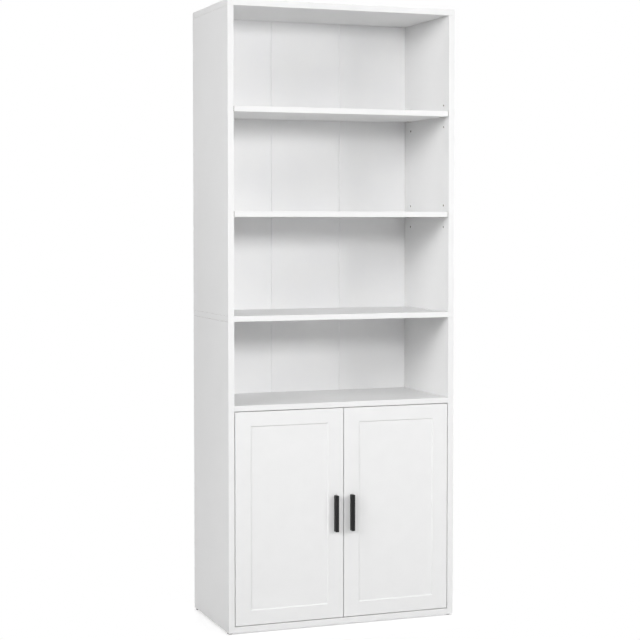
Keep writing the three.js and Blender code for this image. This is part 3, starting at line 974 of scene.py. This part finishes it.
@dataclass
class Fittings:
    """The case's small fittings: shelf supports, glides, magnetic catch and cams.

    Attributes:
        plate_arris: Radius at the edges of pressed steel.
        glide_arris: Radius at the edges of the moulded glides.
        pole: Thickness of the steel poles on each catch magnet.
        pole_lead: How far the poles stand before the ferrite between them.
        catch_ear: Thickness of the catch's ears under the shelf.
        catch_screw_place: Distance of the catch's screws from its middle.
        catch_screw_share: How far back those screws stand, as a share of the catch's depth.
        catch_screw_turns: How far the left and the right one are turned, in degrees.
        cam_place: Distance of the cam fittings from the sides.
        cam_stand: How far their seats stand below the panel.
        cam_turn: How far each is turned outwards, in degrees.
        cam: The shape of their faces.
    """

    plate_arris: float = 0.2 * MM
    glide_arris: float = 0.4 * MM
    pole: float = 1.2 * MM
    pole_lead: float = 0.5 * MM
    catch_ear: float = 3.0 * MM
    catch_screw_place: float = 27.5 * MM
    catch_screw_share: float = 2 / 3
    catch_screw_turns: tuple[float, float] = (20.0, 65.0)
    cam_place: float = 34 * MM
    cam_stand: float = 0.1 * MM
    cam_turn: float = 12.0
    cam: CrossHead = CrossHead(radius=7.4 * MM, height=0.6 * MM, crown_share=0.93, wall_share=0.4,
                               reach=3.4 * MM, arm=1.6 * MM, depth=0.5 * MM)

    def dress(self) -> None:
        """Dresses the fixed fittings, and adds the catch's magnets and screws and the cams."""
        for name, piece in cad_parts.items():
            if name.startswith("support_"):
                wear(piece, NICKEL)
                soften(piece, self.plate_arris)
            elif name.startswith("glide_"):
                wear(piece, GLIDE_PLASTIC)
                soften(piece, self.glide_arris)
        wear(node("catch_body"), CATCH_PLASTIC)
        soften(node("catch_body"), self.plate_arris)
        for side in Side:
            self.magnet(side)
        self.catch_screws()
        self.cams()

    def magnet(self, side: Side) -> None:
        """Builds a catch magnet: a ferrite block between two steel poles.

        Args:
            side: The side of the door that it holds.
        """
        name = f"catch_magnet_{side.word}"
        low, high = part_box(name)
        rise = Vector((0.0, 0.0, self.pole))
        ferrite = slab(f"catch_ferrite_{side.word}", low + rise + Vector((0.0, self.pole_lead, 0.0)),
                       high - rise, self.plate_arris, FERRITE, Body.CASE, Slot.MAGNET)
        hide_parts(name)
        for level, foot in ((Level.LOWER, low.z), (Level.UPPER, high.z - self.pole)):
            slab(f"catch_pole_{side.word}_{level.word}", Vector((low.x, low.y, foot)),
                 Vector((high.x, high.y, foot + self.pole)), self.plate_arris, NICKEL, Body.CASE, Slot.STEEL)

    def catch_screws(self) -> None:
        """Sets the two screws that hold the catch under the shelf over the doors."""
        low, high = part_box("catch_body")
        y = low.y + (high.y - low.y) * self.catch_screw_share
        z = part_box("cabinet_top_shelf")[0].z - self.catch_ear
        for side, turn in zip(Side, self.catch_screw_turns):
            place = Vector((side.value * self.catch_screw_place, y, z))
            WOOD_SCREW.put(f"catch_screw_{side.word}", place, (0, 0, -1), turn, Body.CASE)

    def cams(self) -> None:
        """Sets four cam fittings under the bottom panel and four under the shelf over the doors."""
        for panel in ("bottom_panel", "cabinet_top_shelf"):
            low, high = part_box(panel)
            for end in ("front", "rear"):
                y = middle(f"support_cabinet_{end}_left").y
                for side in Side:
                    x = (high.x if side is Side.RIGHT else low.x) - side.value * self.cam_place
                    place = Vector((x, y, low.z - self.cam_stand))
                    self.cam.put(f"cam_{panel}_{end}_{side.word}", place, (0, 0, -1),
                                 side.value * self.cam_turn, Body.CASE, ZINC)


@dataclass
class Hinge:
    """One concealed hinge: cup and pin on the door, arm and wing plate on the case.

    Attributes:
        side: The side of its door.
        level: Which of that door's two hinges it is.
        arris: Radius at the edges of the pressed steel.
        head_rise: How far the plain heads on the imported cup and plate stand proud.
        cup_spacing: Distance between the cup's screws.
        cup_turns: How far the lower and the upper one are turned, in degrees.
        plate_spacing: Distance between the wing plate's screws.
        plate_turns: How far the lower and the upper one are turned, in degrees.
        plate_face: How far the wing plate's face stands from the case's side.
        plate_setback: Distance of the plate's screws behind the front edge.
        channel_face: How far the arm's top stands from the case's side.
        slot_place: Distance of the arm's slot from its rear end.
        slot_sink: Depth of the slot's floor below the arm's top.
        fixing: The head of the screw in that slot.
        fixing_turn: How far it is turned, in degrees.
        adjuster_place: Distance of the side adjuster from the arm's rear end.
        adjuster: The head of the side adjuster.
        adjuster_turn: How far it is turned, in degrees.
    """

    side: Side
    level: Level
    arris: float = 0.25 * MM
    head_rise: float = 1.4 * MM
    cup_spacing: float = 48 * MM
    cup_turns: tuple[float, float] = (35.0, 70.0)
    plate_spacing: float = 32 * MM
    plate_turns: tuple[float, float] = (50.0, 10.0)
    plate_face: float = 2.3 * MM
    plate_setback: float = 37 * MM
    channel_face: float = 10.3 * MM
    slot_place: float = 16.5 * MM
    slot_sink: float = 3.2 * MM
    fixing: CrossHead = CrossHead(radius=2.35 * MM, height=1.6 * MM, crown_share=0.75, wall_share=0.6,
                                  reach=1.5 * MM, arm=0.7 * MM, depth=0.9 * MM)
    fixing_turn: float = 28.0
    adjuster_place: float = 26.5 * MM
    adjuster: CrossHead = CrossHead(radius=2.9 * MM, height=0.9 * MM, crown_share=0.8, wall_share=0.5,
                                    reach=1.8 * MM, arm=0.8 * MM, depth=0.8 * MM)
    adjuster_turn: float = 60.0

    @property
    def tail(self) -> str:
        """The end that this hinge's pieces have in their names."""
        return f"{self.side.word}_{self.level.word}"

    def dress(self) -> None:
        """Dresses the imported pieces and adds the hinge's screws."""
        for kind in ("cup", "pin", "arm"):
            piece = node(f"hinge_{kind}_{self.tail}")
            wear(piece, NICKEL)
            soften(piece, self.arris)
        self.cup_screws()
        self.plate_screws()
        self.adjusters()

    def cup_screws(self) -> None:
        """Sets the two screws that hold the cup's ears to the door."""
        cup = f"hinge_cup_{self.tail}"
        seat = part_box(cup)[1].y - self.head_rise
        for level, turn in zip(Level, self.cup_turns):
            place = middle(cup)
            place.y = seat
            place.z += level.value * self.cup_spacing / 2
            WOOD_SCREW.put(f"cup_screw_{self.tail}_{level.word}", place, (0, 1, 0), turn,
                           self.side.door_body)

    def inward(self, depth: float) -> float:
        """Finds a plane that stands off the inner face of the case's side.

        Args:
            depth: How far it stands off.

        Returns:
            The plane's X.
        """
        low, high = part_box(f"lower_side_{self.side.word}")
        wall = high.x if self.side is Side.LEFT else low.x
        return wall - self.side.value * depth

    def plate_screws(self) -> None:
        """Sets the two screws that hold the wing plate to the case."""
        height = middle(f"hinge_arm_{self.tail}").z
        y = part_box("bottom_panel")[0].y + self.plate_setback
        for level, turn in zip(Level, self.plate_turns):
            z = height + level.value * self.plate_spacing / 2
            WOOD_SCREW.put(f"plate_screw_{self.tail}_{level.word}",
                           Vector((self.inward(self.plate_face), y, z)), (-self.side.value, 0, 0), turn,
                           Body.CASE)

    def adjusters(self) -> None:
        """Sets the fixing screw in the arm's slot and the side adjuster before it."""
        arm = f"hinge_arm_{self.tail}"
        height, rear = middle(arm).z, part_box(arm)[1].y
        out = (-self.side.value, 0, 0)
        slot = Vector((self.inward(self.channel_face - self.slot_sink), rear - self.slot_place, height))
        self.fixing.put(f"fixing_screw_{self.tail}", slot, out, self.fixing_turn, Body.CASE)
        top = Vector((self.inward(self.channel_face), rear - self.adjuster_place, height))
        self.adjuster.put(f"side_adjuster_{self.tail}", top, out, self.adjuster_turn, Body.CASE)


@dataclass
class Door:
    """One cabinet door with its pull, strike plate and hinges.

    Attributes:
        side: The side that its hinges are on.
        arris: Radius at the door's film-wrapped arrises.
        wrapped: The least angle of an arris that the film rounds, in radians; the recess's
            milled steps are blunter and stay crisp.
        pull_arris: Radius at the pull's cast arrises.
        pull_turns: How far its upper and its lower screw are turned, in degrees.
        pull_shank: Radius of those machine screws' shanks.
        pull_head: Shape of their heads.
        strike_arris: Radius at the strike plate's edges.
        strike_screw_rise: Height of the strike's screw over the strike's lower end.
        strike_turn: How far that screw is turned, in degrees.
        head_rise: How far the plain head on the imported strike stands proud.
    """

    side: Side
    arris: float = 0.8 * MM
    wrapped: float = math.radians(60)
    pull_arris: float = 0.7 * MM
    pull_turns: tuple[float, float] = (15.0, 55.0)
    pull_shank: float = 2.0 * MM
    pull_head: CrossHead = CrossHead(radius=4.0 * MM, height=2.4 * MM, crown_share=0.6, wall_share=0.4,
                                     reach=2.2 * MM, arm=1.0 * MM, depth=1.4 * MM)
    strike_arris: float = 0.2 * MM
    strike_screw_rise: float = 6.0 * MM
    strike_turn: float = 40.0
    head_rise: float = 1.4 * MM

    def dress(self) -> None:
        """Dresses the door and what it carries, and adds its screws."""
        door = node(f"door_{self.side.word}")
        wear(door, WrappedFibreboard(rear=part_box(door.name)[1].y))
        soften(door, self.arris, segments=3, rounded=self.wrapped)
        pull = node(f"pull_{self.side.word}")
        wear(pull, PowderCoat())
        soften(pull, self.pull_arris, segments=3)
        strike = node(f"strike_{self.side.word}")
        wear(strike, NICKEL)
        soften(strike, self.strike_arris)
        self.strike_screw()
        for level, turn in zip((Level.UPPER, Level.LOWER), self.pull_turns):
            self.pull_screw(level, turn)
            Hinge(self.side, level).dress()

    def strike_screw(self) -> None:
        """Sets the screw that holds the strike plate to the door."""
        low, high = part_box(f"strike_{self.side.word}")
        place = Vector(((low.x + high.x) / 2, high.y - self.head_rise, low.z + self.strike_screw_rise))
        WOOD_SCREW.put(f"strike_screw_{self.side.word}", place, (0, 1, 0), self.strike_turn,
                       self.side.door_body)

    def pull_screw(self, level: Level, turn: float) -> None:
        """Builds a pull's machine screw in place of its plain node.

        Args:
            level: Which of the pull's two screws it is.
            turn: How far its recess is turned, in degrees.
        """
        name = f"pull_screw_{self.side.word}_{level.word}"
        low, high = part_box(name)
        place = middle(name)
        place.y = high.y - self.pull_head.height
        head = replace(self.pull_head, shank=(self.pull_shank, place.y - low.y))
        screw = head.put(f"machine_screw_{self.side.word}_{level.word}", place, (0, 1, 0), turn,
                         self.side.door_body)
        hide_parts(name)


@dataclass(frozen=True)
class Lamp:
    """A soft rectangular lamp.

    Attributes:
        name: The lamp's name.
        place: Where it stands, in metres.
        power: Its power in watts.
        size: Its width and height in metres.
        aim: Height of the point that it faces, on the part's upright axis.
    """

    name: str
    place: tuple[float, float, float]
    power: float
    size: tuple[float, float]
    aim: float

    def hang(self) -> None:
        """Puts the lamp in the scene."""
        data = bpy.data.lights.new(self.name, "AREA")
        data.shape = "RECTANGLE"
        data.size, data.size_y = self.size
        data.energy = self.power
        lamp = bpy.data.objects.new(self.name, data)
        lamp.location = self.place
        lamp.rotation_mode = "QUATERNION"
        facing = Vector((0.0, 0.0, self.aim)) - Vector(self.place)
        lamp.rotation_quaternion = facing.to_track_quat("-Z", "Y")
        bpy.context.scene.collection.objects.link(lamp)


def seen_directly(tree: NodeTree) -> NodeSocket:
    """Builds the mask of rays that show the backdrop itself.

    Args:
        tree: The world's or the floor's node tree.

    Returns:
        One for camera, glossy and transmission rays, and zero for others.
    """
    path = add_node(tree, "LightPath")
    shiny = add_node(tree, "Math", {"operation": "MAXIMUM"},
                     {0: path["Is Glossy Ray"], 1: path["Is Transmission Ray"]})[0]
    return add_node(tree, "Math", {"operation": "MAXIMUM"}, {0: path["Is Camera Ray"], 1: shiny})[0]


@dataclass(frozen=True)
class PaleFloor(Finish):
    """Matt pale paper rolled out as a floor, the backdrop of a product picture.

    It keeps the part's soft shadow and fades to plain white away from it.

    Attributes:
        paper: The paper's colour.
        lift: Strength of the glow that shows its lit parts as white.
        shade_start: Distance from the part's box at which the fade begins.
        shade_end: Distance at which it is complete.
    """

    name: str = "pale_floor"
    paper: str = "CACACA"
    lift: float = 0.56
    shade_start: float = 0.01
    shade_end: float = 0.14

    def surface(self, tree: NodeTree) -> NodeSocket:
        """Builds the floor's shader.

        Args:
            tree: The material's empty node tree.

        Returns:
            The shader output to show.
        """
        seen = seen_directly(tree)
        faded = add_node(tree, "MapRange", {"interpolation_type": "SMOOTHSTEP"}, {
            "Value": self.distance(tree), "From Min": self.shade_start, "From Max": self.shade_end})[0]
        far = add_node(tree, "Math", {"operation": "MULTIPLY"}, {0: faded, 1: seen})[0]
        strength = add_node(tree, "Math", {"operation": "MULTIPLY"}, {0: seen, 1: self.lift})[0]
        glow = add_node(tree, "Emission", inputs={"Color": linear(WHITE), "Strength": strength})[0]
        matt = add_node(tree, "BsdfDiffuse", inputs={"Color": linear(self.paper)})[0]
        near = add_node(tree, "AddShader", inputs={0: matt, 1: glow})[0]
        plain = add_node(tree, "Emission", inputs={"Color": linear(WHITE)})[0]
        return add_node(tree, "MixShader", inputs={0: far, 1: near, 2: plain})[0]

    def distance(self, tree: NodeTree) -> NodeSocket:
        """Builds the distance on the floor from the part's box.

        Args:
            tree: The material's node tree.

        Returns:
            The distance in metres, which is zero below the part.
        """
        low, high = CAD_BOX
        centre = ((low.x + high.x) / 2, (low.y + high.y) / 2, 0.0)
        half = ((high.x - low.x) / 2, (high.y - low.y) / 2, 0.0)
        place = add_node(tree, "TexCoord")["Object"]
        away = add_node(tree, "VectorMath", {"operation": "SUBTRACT"}, {0: place, 1: centre})[0]
        flipped = add_node(tree, "VectorMath", {"operation": "ABSOLUTE"}, {0: away})[0]
        beyond = add_node(tree, "VectorMath", {"operation": "SUBTRACT"}, {0: flipped, 1: half})[0]
        outside = add_node(tree, "VectorMath", {"operation": "MAXIMUM"}, {0: beyond, 1: (0.0, 0.0, 0.0)})[0]
        return add_node(tree, "VectorMath", {"operation": "LENGTH"}, {0: outside})["Value"]


@dataclass
class Studio:
    """The plain room: a pale floor, soft lamps and the camera.

    Attributes:
        camera_place: The camera, as metres from the part's origin.
        camera_turn: How far the camera looks to the right of +Y, in degrees.
        camera_dip: How far it looks below the horizon, in degrees.
        camera_lens: Focal length in millimetres.
        camera_rise: Vertical shift, as a share of the picture.
        camera_reach: How far it sees.
        sensor: Width of its sensor in millimetres.
        ambient: Strength of the even light from all round.
        backdrop: Strength at which what lies behind the part shows as plain white.
        floor_size: Length of the floor's sides.
        floor_steps: How many faces it has along each.
        lamps: The lamps, first those before the part and last the one behind it.
    """

    camera_place: tuple[float, float, float] = (-1.7287, -4.6000, 1.1755)
    camera_turn: float = 20.474
    camera_dip: float = 2.526
    camera_lens: float = 92.620
    camera_rise: float = -0.04
    camera_reach: float = 100.0
    sensor: float = 36.0
    ambient: float = 0.04
    backdrop: float = 1.0
    floor_size: float = 40.0
    floor_steps: int = 8
    lamps: tuple[Lamp, ...] = (
        Lamp("key", (-0.5, -3.70, 1.98), 42.0, (0.8, 0.6), -1.6),
        Lamp("left_fill", (-3.5, -1.95, 2.25), 109.0, (2.2, 0.8), 0.05),
        Lamp("right_fill", (2.85, -2.8, 1.85), 72.0, (2.2, 0.8), 0.0),
        Lamp("high_fill", (1.2, -4.6, 4.5), 28.0, (2.4, 1.6), 0.0),
        Lamp("back_fill", (1.1, 2.9, 4.4), 130.0, (2.0, 1.4), 0.9))

    def camera(self) -> None:
        """Sets up the camera of the photograph."""
        data = bpy.data.cameras.new("camera")
        data.sensor_width = self.sensor
        data.lens = self.camera_lens
        data.shift_y = self.camera_rise
        data.clip_end = self.camera_reach
        camera = bpy.data.objects.new("camera", data)
        camera.location = self.camera_place
        camera.rotation_euler = (math.radians(90 - self.camera_dip), 0.0, -math.radians(self.camera_turn))
        bpy.context.scene.collection.objects.link(camera)
        bpy.context.scene.camera = camera

    def world(self) -> None:
        """Lights the part evenly from all round, and shows plain white behind it."""
        world = bpy.data.worlds.new("studio")
        bpy.context.scene.world = world
        world.use_nodes = True
        tree = world.node_tree
        tree.nodes.clear()
        strength = add_node(tree, "Mix", {"data_type": "FLOAT"},
                            {"Factor": seen_directly(tree), "A": self.ambient, "B": self.backdrop})[0]
        glow = add_node(tree, "Background", inputs={"Color": linear(WHITE), "Strength": strength})[0]
        add_node(tree, "OutputWorld", inputs={"Surface": glow})

    def floor(self) -> None:
        """Lays the pale floor."""
        form = bmesh.new()
        bmesh.ops.create_grid(form, x_segments=self.floor_steps, y_segments=self.floor_steps,
                              size=self.floor_size / 2)
        mesh = bpy.data.meshes.new("floor")
        form.to_mesh(mesh)
        form.free()
        floor = bpy.data.objects.new("floor", mesh)
        bpy.context.scene.collection.objects.link(floor)
        wear(floor, PaleFloor())

    def build(self) -> None:
        """Sets up the whole room."""
        bpy.context.scene.view_settings.view_transform = "Standard"
        self.camera()
        self.world()
        for lamp in self.lamps:
            lamp.hang()
        self.floor()


def main() -> None:
    """Builds and dresses the bookcase and sets up its room."""
    logging.basicConfig(level=logging.INFO, format="%(name)s: %(message)s")
    Studio().build()
    Case().dress()
    Fittings().dress()
    for side in Side:
        Door(side).dress()


if __name__ == "__main__":
    main()
